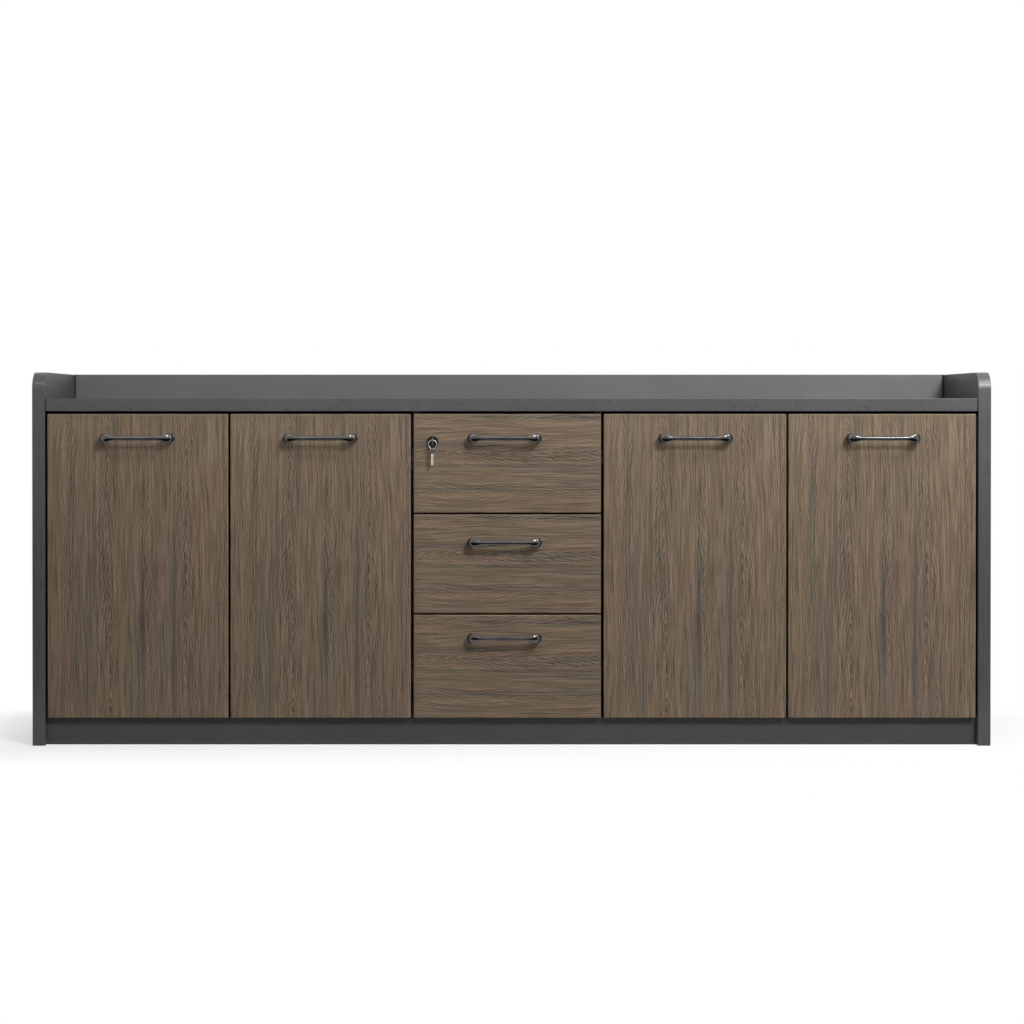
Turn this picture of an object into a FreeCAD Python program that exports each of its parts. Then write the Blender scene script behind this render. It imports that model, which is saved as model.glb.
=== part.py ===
import FreeCAD, Part
import math
import os

from FreeCAD import Vector

# Office credenza, millimetres. +Z is up, +X runs to the right of someone facing the fronts,
# and +Y runs from the fronts to the back. The origin is on the floor, at the middle of the
# whole object's footprint, handles included.

# ---- overall ----
overall_width = 2000.0
overall_height = 780.0
carcass_depth = 400.0

# ---- carcass boards ----
side_thickness = 26.6          # 25 mm board with a laminate on both faces
side_corner_radius = 38.0      # front top corner of each side panel
top_thickness = 26.6
gallery_height = 55.0          # how far the sides and the back rail stand above the top board
gallery_back_thickness = 26.6
gallery_rebate = 6.0           # the back rail's foot is let into the top board's rear edge
bottom_thickness = 18.0
partition_thickness = 16.0
shelf_thickness = 25.0
shelf_side_clearance = 1.0
shelf_front_setback = 60.0     # from the front plane, behind the hinge arms' noses
shelf_height = 365.0           # underside of the shelves above the floor
back_thickness = 9.0
back_inset = 6.0               # back panel's outer face from the rear edges
plinth_height = 57.0
plinth_setback = 20.5
plinth_thickness = 18.0

# ---- fronts ----
front_thickness = 18.0
bumper_gap = 2.0               # back of the fronts to the boards behind them
outer_gap = 5.0                # side panel to outer door
pair_gap = 4.4                 # between the two doors of a pair
stack_gap = 6.0                # door to drawer front
head_gap = 5.7                 # top board to fronts
foot_gap = 1.3                 # plinth height to fronts
drawer_gap = 3.6
drawer_stack_width = 390.4
drawer_stack_offset = -9.0     # middle of the drawer stack from the middle of the width
left_inner_door_width = 376.5
right_inner_door_width = 380.8
top_front_height = 206.0
middle_front_height = 206.0

# ---- bow handles ----
handle_length = 156.0
handle_projection = 30.0
handle_hole_spacing = 128.0
handle_bar_height = 9.0
handle_bar_depth = 6.5
handle_end_height = 18.5
handle_end_depth = 7.0
handle_foot_width = 15.0
handle_foot_height = 17.0
handle_screw_radius = 2.0
handle_screw_head_radius = 4.2
handle_screw_head_length = 2.4
handle_screw_grip = 12.0       # thread inside the foot
handle_clearance = 0.1
door_handle_drop = 50.5        # top edge of the front to the bar's middle
top_drawer_handle_drop = 50.5
middle_drawer_handle_drop = 58.0
bottom_drawer_handle_drop = 47.5
drawer_handle_offset = -6.0

# ---- single-pivot cup hinges, measured from the door's hinge-side front corner ----
hinge_end_distance = 95.0      # hinge middle from the door's top and bottom edges
pivot_inboard = 13.0
pivot_depth = 11.0
pivot_pin_radius = 1.5
pivot_clearance = 0.05
knuckle_radius = 3.5
cup_radius = 17.5
cup_edge_distance = 3.0
cup_depth = 12.5
cup_wall = 1.0
cup_clearance = 0.1
cup_flange_thickness = 1.0
cup_flange_height = 52.0
cup_flange_width = 16.0
arm_width = 10.0
arm_thickness = 2.5
arm_nose_angle = 25.0          # how the arm leaves the cup, turned from the door's plane
arm_nose_length = 15.6
arm_crook = [(30.5, 23.0), (25.0, 31.0), (8.0, 34.0)]
arm_base_start = 41.0
arm_base_end = 88.0
arm_base_offset = 1.0          # arm's inner face from the door edge's plane, towards the panel
plate_start = 38.0
plate_height = 14.0
plate_wing_height = 48.0
plate_wing_start = 50.0
plate_wing_width = 12.0
plate_wing_thickness = 1.6

# ---- drawers ----
box_foot = 22.0                # drawer front's bottom edge to the box
box_height = 105.0
box_wall = 15.0
box_length = 322.0
box_bottom_thickness = 5.0
box_bottom_lift = 10.0
box_groove = 6.0
box_groove_clearance = 0.1

# ---- ball-bearing runners ----
runner_height = 45.0
runner_width = 12.7
runner_length = 300.0
runner_setback = 40.0          # from the front plane
runner_sheet = 1.2
runner_play = 0.5
runner_web_gap = 1.0
runner_flange_reach = 9.0

# ---- lock, catch bar and keys ----
lock_from_left = 39.6          # drawer front's left edge to the barrel's axis
lock_from_top = 58.1
barrel_radius = 9.5
barrel_collar_radius = 12.0
barrel_collar_thickness = 3.0
barrel_tail = 8.0              # barrel behind the drawer front
barrel_clearance = 0.1
plug_radius = 6.0
plug_nose = 1.0                # plug in front of the collar
plug_clearance = 0.08
keyway_height = 7.6
keyway_width = 2.4
keyway_depth = 16.0
cam_radius = 10.0
cam_half_turn = 45.0
cam_thickness = 2.0
cam_width = 9.0
cam_gap = 0.3
cam_pin_radius = 2.5
cam_pin_length = 8.0
bar_thickness = 5.8
bar_width = 10.0
bar_setback = 24.0
bar_groove_clearance = 0.4
bar_end_margin = 32.0          # bar's lower end above the bottom board
bar_tab_thickness = 3.0
bar_tab_height = 14.0
bar_tab_reach = 23.5
tab_slot_clearance = 0.5
bar_pin_radius = 3.0
bar_pin_reach = 11.0
hook_thickness = 2.5
hook_width = 17.0
hook_height = 20.0
hook_slot_width = 7.0
hook_slot_depth = 13.4
hook_clearance = 2.0           # hook's lower edge to the bar's pin when unlocked
hook_from_box_top = 2.0
guide_thickness = 1.0
guide_width = 20.0
guide_height = 14.0
guide_gap = 0.5                # top guide to the bar's tab
key_blade_height = 7.0
key_thickness = 2.0
key_blade_length = 18.0        # from the bow's base
key_bow_radius = 9.0
key_bow_length = 18.0
key_bow_gap = 3.0              # bow's base in front of the plug
key_hole_radius = 2.0
key_hole_rise = 5.0
key_hole_from_end = 8.0
ring_radius = 9.5
ring_wire_radius = 0.8
spare_bow_radius = 6.6
spare_bow_drop = 3.2           # hole to bow's middle
spare_blade_height = 5.4
spare_blade_length = 34.0      # from the bow's middle
key_bit_pitch = 3.4
key_bit_depths = [1.3, 0.9, 1.5, 1.1, 1.4]

# ---- carcass fittings ----
shelf_pin_radius = 2.5
shelf_pin_length = 16.0
shelf_pin_clearance = 0.1
shelf_pin_from_ends = 50.0
cam_disc_radius = 7.5
cam_disc_depth = 12.5
cam_disc_from_edge = 34.0
cam_bolt_radius = 3.0
cam_bolt_anchor = 11.0
fitting_clearance = 0.1
fitting_from_front = 70.0
fitting_from_back = 70.0
top_board_fitting_middle = 14.0    # bolt's axis above the board's underside
bottom_board_fitting_middle = 9.0

# ---- derived places ----
front_y = (handle_projection - carcass_depth) / 2.0
rear_y = front_y + carcass_depth
inner_half = overall_width / 2.0 - side_thickness
top_z = overall_height - gallery_height
top_under_z = top_z - top_thickness
bottom_under_z = plinth_height - bottom_thickness
board_front_y = front_y + front_thickness + bumper_gap
plinth_back_y = front_y + plinth_setback + plinth_thickness
front_back_y = front_y + front_thickness
back_face_y = rear_y - back_inset - back_thickness
front_top_z = top_under_z - head_gap
front_foot_z = plinth_height + foot_gap
stack_left_x = drawer_stack_offset - drawer_stack_width / 2.0
stack_right_x = drawer_stack_offset + drawer_stack_width / 2.0
left_partition_x = stack_left_x - stack_gap / 2.0
right_partition_x = stack_right_x + stack_gap / 2.0
drawer_bay_left_x = left_partition_x + partition_thickness
drawer_bay_right_x = right_partition_x - partition_thickness
middle_front_top_z = front_top_z - top_front_height - drawer_gap
bottom_front_top_z = middle_front_top_z - middle_front_height - drawer_gap
lock_x = stack_left_x + lock_from_left
lock_z = front_top_z - lock_from_top
cam_throw = cam_radius * math.sin(math.radians(cam_half_turn))
bar_lift = 2.0 * cam_throw
collar_face_y = front_y - barrel_collar_thickness
barrel_tail_y = front_back_y + barrel_tail
cam_y = barrel_tail_y + cam_gap
bar_y = front_y + bar_setback


# ---- helpers ----
def block(x0, x1, y0, y1, z0, z1):
    low = Vector(min(x0, x1), min(y0, y1), min(z0, z1))
    return Part.makeBox(abs(x1 - x0), abs(y1 - y0), abs(z1 - z0), low)


def rod(radius, length, start, direction):
    return Part.makeCylinder(radius, length, Vector(*start), Vector(*direction))


def cut_all(solid, tools):
    for tool in tools:
        solid = solid.cut(tool)
    return solid


def fuse_all(solids):
    whole = solids[0]
    for solid in solids[1:]:
        whole = whole.fuse(solid)
    return whole.removeSplitter()


def write(node, solids):
    Part.makeCompound(solids).exportStep("parts/" + node + ".step")


def strip(points, thickness, z_low, z_high):
    """A bent strip of sheet that stands on edge along a line of plan points."""
    height = z_high - z_low
    pieces = []
    for (x0, y0), (x1, y1) in zip(points, points[1:]):
        length = math.hypot(x1 - x0, y1 - y0)
        piece = Part.makeBox(length, thickness, height, Vector(0, -thickness / 2.0, 0))
        piece.rotate(Vector(0, 0, 0), Vector(0, 0, 1), math.degrees(math.atan2(y1 - y0, x1 - x0)))
        piece.translate(Vector(x0, y0, z_low))
        pieces.append(piece)
    for x, y in points[1:-1]:
        pieces.append(rod(thickness / 2.0, height, (x, y, z_low), (0, 0, 1)))
    return fuse_all(pieces)


# ---- carcass ----
def fitting_depths():
    return [board_front_y + fitting_from_front, back_face_y - fitting_from_back]


def board_end_fittings(end_x, inward, disc_floor_z, bolt_z, grow):
    """Cam discs let into a board's underside, and their bolts from the upright beside it."""
    solids = []
    for y in fitting_depths():
        disc_x = end_x + inward * cam_disc_from_edge
        solids.append(rod(cam_disc_radius + grow, cam_disc_depth, (disc_x, y, disc_floor_z), (0, 0, 1)))
        bolt_length = cam_disc_from_edge - cam_disc_radius + cam_bolt_anchor
        start = (end_x - inward * cam_bolt_anchor, y, bolt_z)
        solids.append(rod(cam_bolt_radius + grow, bolt_length, start, (inward, 0, 0)))
    return solids


def upright_end_fittings(face_x, inward, end_z, upward, grow):
    """The same fittings for a partition's end: discs in its face, bolts from the board."""
    solids = []
    bolt_x = face_x + inward * partition_thickness / 2.0
    for y in fitting_depths():
        disc_z = end_z + upward * cam_disc_from_edge
        disc = rod(cam_disc_radius + grow, cam_disc_depth, (face_x, y, disc_z), (inward, 0, 0))
        bolt_length = cam_disc_from_edge - cam_disc_radius + cam_bolt_anchor
        start = (bolt_x, y, end_z - upward * cam_bolt_anchor)
        solids += [disc, rod(cam_bolt_radius + grow, bolt_length, start, (0, 0, upward))]
    return solids


def all_fittings(grow):
    solids = []
    top_bolt_z = top_under_z + top_board_fitting_middle
    bottom_bolt_z = bottom_under_z + bottom_board_fitting_middle
    for side in (-1, 1):
        end_x = side * inner_half
        solids += board_end_fittings(end_x, -side, top_under_z, top_bolt_z, grow)
        solids += board_end_fittings(end_x, -side, bottom_under_z, bottom_bolt_z, grow)
    for face_x, inward in ((left_partition_x, 1), (right_partition_x, -1)):
        solids += upright_end_fittings(face_x, inward, plinth_height, 1, grow)
        solids += upright_end_fittings(face_x, inward, top_under_z, -1, grow)
    return solids


def shelf_bays():
    return {"left": (-inner_half, left_partition_x), "right": (right_partition_x, inner_half)}


def shelf_pins(radius):
    pins = []
    depths = (
        front_y + shelf_front_setback + shelf_pin_from_ends,
        back_face_y - shelf_pin_from_ends,
    )
    for low_x, high_x in shelf_bays().values():
        for wall_x in (low_x, high_x):
            for y in depths:
                start = (wall_x - shelf_pin_length / 2.0, y, shelf_height - shelf_pin_radius)
                pins.append(rod(radius, shelf_pin_length, start, (1, 0, 0)))
    return pins


def side_panel(side):
    outer_x = side * overall_width / 2.0
    panel = block(outer_x, side * inner_half, front_y, rear_y, 0.0, overall_height)
    corner = []
    for edge in panel.Edges:
        middle = edge.BoundBox.Center
        if abs(middle.y - front_y) < 0.01 and abs(middle.z - overall_height) < 0.01:
            corner.append(edge)
    return panel.makeFillet(side_corner_radius, corner)


def gallery_rail():
    rail_y = rear_y - gallery_back_thickness
    return block(-inner_half, inner_half, rail_y, rear_y, top_z - gallery_rebate, overall_height)


def carcass_boards(voids):
    top = block(-inner_half, inner_half, front_y, rear_y, top_under_z, top_z)
    inner_y = (board_front_y, back_face_y)
    left = block(left_partition_x, drawer_bay_left_x, *inner_y, plinth_height, top_under_z)
    groove = block(
        drawer_bay_left_x - bar_thickness - bar_groove_clearance,
        drawer_bay_left_x,
        bar_y - bar_groove_clearance,
        bar_y + bar_width + bar_groove_clearance,
        plinth_height + bar_end_margin - bar_groove_clearance,
        lock_z + bar_tab_height + bar_lift,
    )
    boards = {
        "left_side_panel": side_panel(-1),
        "right_side_panel": side_panel(1),
        "top_board": top.cut(gallery_rail()),
        "bottom_board": block(
            -inner_half, inner_half, plinth_back_y, back_face_y, bottom_under_z, plinth_height
        ),
        "left_partition": left.cut(groove),
        "right_partition": block(
            drawer_bay_right_x, right_partition_x, *inner_y, plinth_height, top_under_z
        ),
    }
    for node, board in boards.items():
        near = [v for v in voids if board.BoundBox.intersect(v.BoundBox)]
        write(node, [cut_all(board, near)])


def gallery_plinth_and_back():
    write("gallery_back", [gallery_rail()])
    front = (plinth_back_y - plinth_thickness, plinth_back_y)
    rear = (back_face_y - plinth_thickness, back_face_y)
    write("front_plinth", [block(-inner_half, inner_half, *front, 0.0, plinth_height)])
    write("rear_plinth", [block(-inner_half, inner_half, *rear, 0.0, bottom_under_z)])
    braces = []
    for low_x in (left_partition_x, drawer_bay_right_x):
        high_x = low_x + partition_thickness
        braces.append(block(low_x, high_x, front[1], rear[0], 0.0, bottom_under_z))
    write("plinth_cross_members", braces)
    outer_y = back_face_y + back_thickness
    write("back_panel", [block(-inner_half, inner_half, back_face_y, outer_y, 0.0, top_under_z)])


def shelves():
    top = shelf_height + shelf_thickness
    for side, (low_x, high_x) in shelf_bays().items():
        board = block(
            low_x + shelf_side_clearance,
            high_x - shelf_side_clearance,
            front_y + shelf_front_setback,
            back_face_y,
            shelf_height,
            top,
        )
        write(side + "_shelf", [board])
    write("shelf_pins", shelf_pins(shelf_pin_radius))


# ---- handles ----
def ellipse_wire(centre, half_width, half_height, heading):
    """An upright ellipse whose normal lies in plan at the heading, in degrees."""
    major = max(half_width, half_height)
    minor = min(half_width, half_height)
    turned = heading + 90.0
    across = Vector(math.cos(math.radians(turned)), math.sin(math.radians(turned)), 0)
    up = Vector(0, 0, 1)
    middle = Vector(*centre)
    first, second = (up, across) if half_height >= half_width else (across, up)
    curve = Part.Ellipse(middle + first * major, middle + second * minor, middle)
    return Part.Wire([curve.toShape()])


def handle(x, z):
    """A bow handle: a slim bar whose ends swell into ovals that bend back to the front."""
    half = handle_length / 2.0
    bar_y = front_y - handle_projection + handle_bar_depth / 2.0
    foot_x = half - handle_foot_width / 2.0
    bend = handle_projection - handle_bar_depth / 2.0
    section = [
        # inboard x, y, half width, half height, heading of the section's normal
        (foot_x, front_y, handle_foot_width / 2.0, handle_foot_height / 2.0, 90.0),
        (foot_x, front_y - 0.36 * bend, 0.42 * handle_foot_width, 0.46 * handle_foot_height, 90.0),
        (foot_x - 0.6, front_y - 0.74 * bend, 0.72 * handle_end_depth, handle_end_height / 2.0, 58.0),
        (half - 16.0, bar_y + 0.9, handle_end_depth / 2.0, 0.47 * handle_end_height, 18.0),
        (half - 27.0, bar_y + 0.15, handle_bar_depth / 2.0, 0.62 * handle_bar_height, 2.0),
        (half - 38.0, bar_y, handle_bar_depth / 2.0, handle_bar_height / 2.0, 0.0),
        (half - 50.0, bar_y, handle_bar_depth / 2.0, handle_bar_height / 2.0, 0.0),
        (half - 64.0, bar_y, handle_bar_depth / 2.0, handle_bar_height / 2.0, 0.0),
    ]
    wires = []
    for inboard, y, width, height, heading in section:
        wires.append(ellipse_wire((x - inboard, y, z), width, height, -heading))
    for inboard, y, width, height, heading in reversed(section):
        wires.append(ellipse_wire((x + inboard, y, z), width, height, heading))
    return Part.makeLoft(wires, True, False)


def handle_screws(x, z, back_y, grow):
    screws = []
    for side in (-1, 1):
        at_x = x + side * handle_hole_spacing / 2.0
        shank_length = back_y - front_y + handle_screw_grip
        shank = rod(handle_screw_radius + grow, shank_length, (at_x, back_y, z), (0, -1, 0))
        if grow:
            screws.append(shank)
        else:
            head = rod(handle_screw_head_radius, handle_screw_head_length, (at_x, back_y, z), (0, 1, 0))
            screws.append(fuse_all([shank, head]))
    return screws


# ---- doors ----
def hinge_heights():
    return (front_foot_z + hinge_end_distance, front_top_z - hinge_end_distance)


def place(edge_x, inboard, along, into):
    """Plan point from the door's hinge-side front corner: along the door, and into the carcass."""
    return (edge_x + inboard * along, front_y + into)


def cup_tools(edge_x, inboard, z):
    x, y = place(edge_x, inboard, cup_edge_distance + cup_radius, front_thickness)
    pot = rod(cup_radius, cup_depth, (x, y, z), (0, -1, 0))
    inside = rod(cup_radius - cup_wall, cup_depth - cup_wall, (x, y, z), (0, -1, 0))
    seat = rod(cup_radius + cup_clearance, cup_depth, (x, y, z), (0, -1, 0))
    return x, y, pot, inside, seat


def hinge_cup(edge_x, inboard, z):
    x, y, pot, inside, _ = cup_tools(edge_x, inboard, z)
    reach = (cup_flange_height - cup_flange_width) / 2.0
    half = cup_flange_width / 2.0
    flange = block(x - half, x + half, y, y + cup_flange_thickness, z - reach, z + reach)
    ends = [rod(half, cup_flange_thickness, (x, y, z + s * reach), (0, 1, 0)) for s in (-1, 1)]
    mouth = rod(cup_radius - cup_wall, cup_flange_thickness, (x, y, z), (0, 1, 0))
    rim = rod(cup_radius, cup_flange_thickness, (x, y, z), (0, 1, 0))
    cup = fuse_all([pot, rim, flange] + ends).cut(inside).cut(mouth)
    pin_x, pin_y = place(edge_x, inboard, pivot_inboard, pivot_depth)
    pin = rod(pivot_pin_radius, 2.0 * cup_radius, (pin_x, pin_y, z - cup_radius), (0, 0, 1))
    return [cup, pin.common(inside)]


def hinge_arm(edge_x, inboard, z):
    pin = place(edge_x, inboard, pivot_inboard, pivot_depth)
    nose = math.radians(arm_nose_angle)
    nose_end = (
        pivot_inboard + arm_nose_length * math.cos(nose),
        pivot_depth + arm_nose_length * math.sin(nose),
    )
    base_along = arm_thickness / 2.0 - arm_base_offset
    crook = [nose_end] + arm_crook + [(base_along, arm_base_start), (base_along, arm_base_end)]
    route = [pin] + [place(edge_x, inboard, *point) for point in crook]
    low_z = z - arm_width / 2.0
    arm = strip(route, arm_thickness, low_z, low_z + arm_width)
    knuckle = rod(knuckle_radius, arm_width, (*pin, low_z), (0, 0, 1))
    bore = rod(pivot_pin_radius + pivot_clearance, arm_width, (*pin, low_z), (0, 0, 1))
    return fuse_all([arm, knuckle]).cut(bore)


def mounting_plate(edge_x, inboard, gap, z):
    face_x, _ = place(edge_x, inboard, -gap, 0.0)
    top_x, start_y = place(edge_x, inboard, -arm_base_offset, plate_start)
    end_y = front_y + arm_base_end
    half = plate_height / 2.0
    spine = block(face_x, top_x, start_y, end_y, z - half, z + half)
    wing_y = front_y + plate_wing_start
    wing_x = face_x + inboard * plate_wing_thickness
    wing_half = plate_wing_height / 2.0
    wings = block(face_x, wing_x, wing_y, wing_y + plate_wing_width, z - wing_half, z + wing_half)
    return fuse_all([spine, wings])


def door_layout():
    """Each door's name, low and high x, hinge side (-1 left, 1 right) and gap on that side."""
    left_split = stack_left_x - stack_gap - left_inner_door_width
    right_split = stack_right_x + stack_gap + right_inner_door_width
    edge = inner_half - outer_gap
    half_stack_gap = stack_gap / 2.0
    return [
        ("left_outer_door", -edge, left_split - pair_gap, -1, outer_gap),
        ("left_inner_door", left_split, stack_left_x - stack_gap, 1, half_stack_gap),
        ("right_inner_door", stack_right_x + stack_gap, right_split, -1, half_stack_gap),
        ("right_outer_door", right_split + pair_gap, edge, 1, outer_gap),
    ]


def doors():
    plates = []
    arms = []
    for name, low_x, high_x, hinge_side, gap in door_layout():
        edge_x = low_x if hinge_side < 0 else high_x
        panel = block(low_x, high_x, front_y, front_back_y, front_foot_z, front_top_z)
        cups = []
        for z in hinge_heights():
            panel = panel.cut(cup_tools(edge_x, -hinge_side, z)[-1])
            cups += hinge_cup(edge_x, -hinge_side, z)
            arms.append(hinge_arm(edge_x, -hinge_side, z))
            plates.append(mounting_plate(edge_x, -hinge_side, gap, z))
        x = (low_x + high_x) / 2.0
        z = front_top_z - door_handle_drop
        write(name + "_panel", [cut_all(panel, handle_screws(x, z, front_back_y, handle_clearance))])
        write(name + "_hinge_cups", cups)
        write(name + "_handle", handle_set(x, z, front_back_y))
    write("hinge_arms", arms)
    write("hinge_mounting_plates", plates)


def handle_set(x, z, back_y):
    bow = cut_all(handle(x, z), handle_screws(x, z, back_y, handle_clearance))
    return [bow] + handle_screws(x, z, back_y, 0.0)


# ---- drawers ----
def channel(wall_x, inward, web, flange_end, half_height, y_low, y_high, z):
    """A C channel of runner sheet: its web from the wall, and its two flanges."""
    web_x = wall_x + inward * web
    pieces = [block(web_x, web_x + inward * runner_sheet, y_low, y_high, z - half_height, z + half_height)]
    for side in (-1, 1):
        outer_z = z + side * half_height
        inner_z = outer_z - side * runner_sheet
        pieces.append(block(web_x, wall_x + inward * flange_end, y_low, y_high, inner_z, outer_z))
    return fuse_all(pieces)


def runner_members(z):
    """The outer, middle and inner members of a drawer's pair of runners."""
    y_low = front_y + runner_setback
    y_high = y_low + runner_length
    outer_half = runner_height / 2.0
    middle_half = outer_half - runner_sheet - runner_play
    inner_half_height = middle_half - runner_sheet - runner_play
    middle_web = runner_sheet + runner_web_gap
    outer = []
    middle = []
    inner = []
    for wall_x, inward in ((drawer_bay_left_x, 1), (drawer_bay_right_x, -1)):
        outer.append(channel(wall_x, inward, 0.0, runner_flange_reach, outer_half, y_low, y_high, z))
        middle_end = runner_flange_reach + runner_sheet
        middle.append(channel(wall_x, inward, middle_web, middle_end, middle_half, y_low, y_high, z))
        side_x = wall_x + inward * runner_width
        inner_end = runner_width - middle_web - runner_sheet - runner_web_gap
        inner.append(channel(side_x, -inward, 0.0, inner_end, inner_half_height, y_low, y_high, z))
    return outer, middle, inner


def drawer_box(foot_z):
    left_x = drawer_bay_left_x + runner_width
    right_x = drawer_bay_right_x - runner_width
    rear = front_back_y + box_length
    top_z_box = foot_z + box_height
    inner_left = left_x + box_wall
    inner_right = right_x - box_wall
    boards = [
        block(left_x, inner_left, front_back_y, rear, foot_z, top_z_box),
        block(inner_right, right_x, front_back_y, rear, foot_z, top_z_box),
        block(inner_left, inner_right, front_back_y, front_back_y + box_wall, foot_z, top_z_box),
        block(inner_left, inner_right, rear - box_wall, rear, foot_z, top_z_box),
    ]
    sheet_z = foot_z + box_bottom_lift
    inner_front = front_back_y + box_wall
    inner_rear = rear - box_wall

    def sheet(grow):
        reach = box_groove + grow
        return block(
            inner_left - reach,
            inner_right + reach,
            inner_front - reach,
            inner_rear + reach,
            sheet_z - grow,
            sheet_z + box_bottom_thickness + grow,
        )

    return [board.cut(sheet(box_groove_clearance)) for board in boards], sheet(0.0)


def catch_hook(foot_z):
    """The hook on the box's left side that the bar's pin rises into."""
    side_x = drawer_bay_left_x + runner_width
    high_z = foot_z + box_height - hook_from_box_top
    low_z = high_z - hook_height
    middle_y = bar_y + bar_width / 2.0
    low_y = middle_y - hook_width / 2.0
    plate = block(side_x - hook_thickness, side_x, low_y, low_y + hook_width, low_z, high_z)
    slot_y = middle_y - hook_slot_width / 2.0
    slot = block(
        side_x - hook_thickness,
        side_x,
        slot_y,
        slot_y + hook_slot_width,
        low_z,
        low_z + hook_slot_depth,
    )
    return plate.cut(slot), low_z


def drawer_layout():
    """Each drawer's name, its front's low and high z, and its handle's drop."""
    return [
        ("top_drawer", front_top_z - top_front_height, front_top_z, top_drawer_handle_drop),
        (
            "middle_drawer",
            middle_front_top_z - middle_front_height,
            middle_front_top_z,
            middle_drawer_handle_drop,
        ),
        ("bottom_drawer", front_foot_z, bottom_front_top_z, bottom_drawer_handle_drop),
    ]


def drawers():
    outer_members = []
    for name, low_z, high_z, drop in drawer_layout():
        front = block(stack_left_x, stack_right_x, front_y, front_back_y, low_z, high_z)
        x = drawer_stack_offset + drawer_handle_offset
        z = high_z - drop
        holes = handle_screws(x, z, front_back_y, handle_clearance)
        if name == "top_drawer":
            start = (lock_x, front_y, lock_z)
            holes.append(rod(barrel_radius + barrel_clearance, front_thickness, start, (0, 1, 0)))
        foot_z = low_z + box_foot
        boards, sheet = drawer_box(foot_z)
        outer, middle, inner = runner_members(foot_z + box_height / 2.0)
        outer_members += outer
        write(name + "_front", [cut_all(front, holes)])
        write(name + "_handle", handle_set(x, z, front_back_y))
        write(name + "_box", boards)
        write(name + "_bottom", [sheet])
        write(name + "_catch_hook", [catch_hook(foot_z)[0]])
        write(name + "_inner_runners", inner)
        write(name + "_middle_runners", middle)
    write("runner_outer_members", outer_members)


# ---- lock ----
def lock_bar():
    right_x = drawer_bay_left_x - bar_groove_clearance / 2.0
    left_x = right_x - bar_thickness
    far_y = bar_y + bar_width
    tab_z = lock_z - cam_throw
    high_z = tab_z + bar_tab_height / 2.0
    pieces = [block(left_x, right_x, bar_y, far_y, plinth_height + bar_end_margin, high_z)]
    tab_y = far_y - bar_tab_thickness
    half = bar_tab_height / 2.0
    tab = block(left_x, right_x + bar_tab_reach, tab_y, far_y, tab_z - half, tab_z + half)
    slot_half = cam_pin_radius + tab_slot_clearance
    slot_left_x = lock_x - cam_radius - slot_half
    slot_right_x = lock_x - cam_throw + slot_half
    slot = block(slot_left_x, slot_right_x, tab_y, far_y, tab_z - slot_half, tab_z + slot_half)
    pieces.append(tab)
    for name, low_z, high_z, drop in drawer_layout():
        hook_low_z = catch_hook(low_z + box_foot)[1]
        pin_z = hook_low_z - hook_clearance - bar_pin_radius
        start = (right_x, bar_y + bar_width / 2.0, pin_z)
        pieces.append(rod(bar_pin_radius, bar_pin_reach, start, (1, 0, 0)))
    return fuse_all(pieces).cut(slot)


def bar_guides():
    """Plates across the partition's groove: under the bar's tab, and level with two boxes' feet."""
    heights = [lock_z - cam_throw - bar_tab_height / 2.0 - guide_gap - guide_height]
    for name, low_z, high_z, drop in drawer_layout()[:-1]:
        heights.append(low_z + box_foot / 2.0)
    low_y = bar_y + (bar_width - guide_width) / 2.0
    high_x = drawer_bay_left_x + guide_thickness
    far_y = low_y + guide_width
    return [block(drawer_bay_left_x, high_x, low_y, far_y, z, z + guide_height) for z in heights]


def lock_barrel():
    body = rod(barrel_radius, front_thickness + barrel_tail, (lock_x, front_y, lock_z), (0, 1, 0))
    collar = rod(
        barrel_collar_radius, barrel_collar_thickness, (lock_x, collar_face_y, lock_z), (0, 1, 0)
    )
    length = barrel_tail_y - collar_face_y
    bore = rod(plug_radius + plug_clearance, length, (lock_x, collar_face_y, lock_z), (0, 1, 0))
    return fuse_all([body, collar]).cut(bore)


def lock_plug():
    nose_y = collar_face_y - plug_nose
    length = cam_y - nose_y
    plug = rod(plug_radius, length, (lock_x, nose_y, lock_z), (0, 1, 0))
    half = keyway_width / 2.0
    keyway = block(
        lock_x - half,
        lock_x + half,
        nose_y,
        nose_y + keyway_depth,
        lock_z - keyway_height / 2.0,
        lock_z + keyway_height / 2.0,
    )
    return plug.cut(keyway)


def lock_cam():
    """The lever on the plug's tail; its pin works the bar's slotted tab."""
    turn = math.radians(180.0 + cam_half_turn)
    pin_x = lock_x + cam_radius * math.cos(turn)
    pin_z = lock_z + cam_radius * math.sin(turn)
    hub = rod(cam_width / 2.0, cam_thickness, (lock_x, cam_y, lock_z), (0, 1, 0))
    tip = rod(cam_width / 2.0, cam_thickness, (pin_x, cam_y, pin_z), (0, 1, 0))
    web = Part.makeBox(cam_radius, cam_thickness, cam_width, Vector(0, 0, -cam_width / 2.0))
    web.rotate(Vector(0, 0, 0), Vector(0, -1, 0), 180.0 + cam_half_turn)
    web.translate(Vector(lock_x, cam_y, lock_z))
    pin = rod(cam_pin_radius, cam_pin_length, (pin_x, cam_y + cam_thickness, pin_z), (0, 1, 0))
    return fuse_all([hub, tip, web, pin])


def key_hole_place():
    bow_end_y = collar_face_y - plug_nose - key_bow_gap - key_bow_length
    return bow_end_y + key_hole_from_end, lock_z + key_hole_rise


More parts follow.
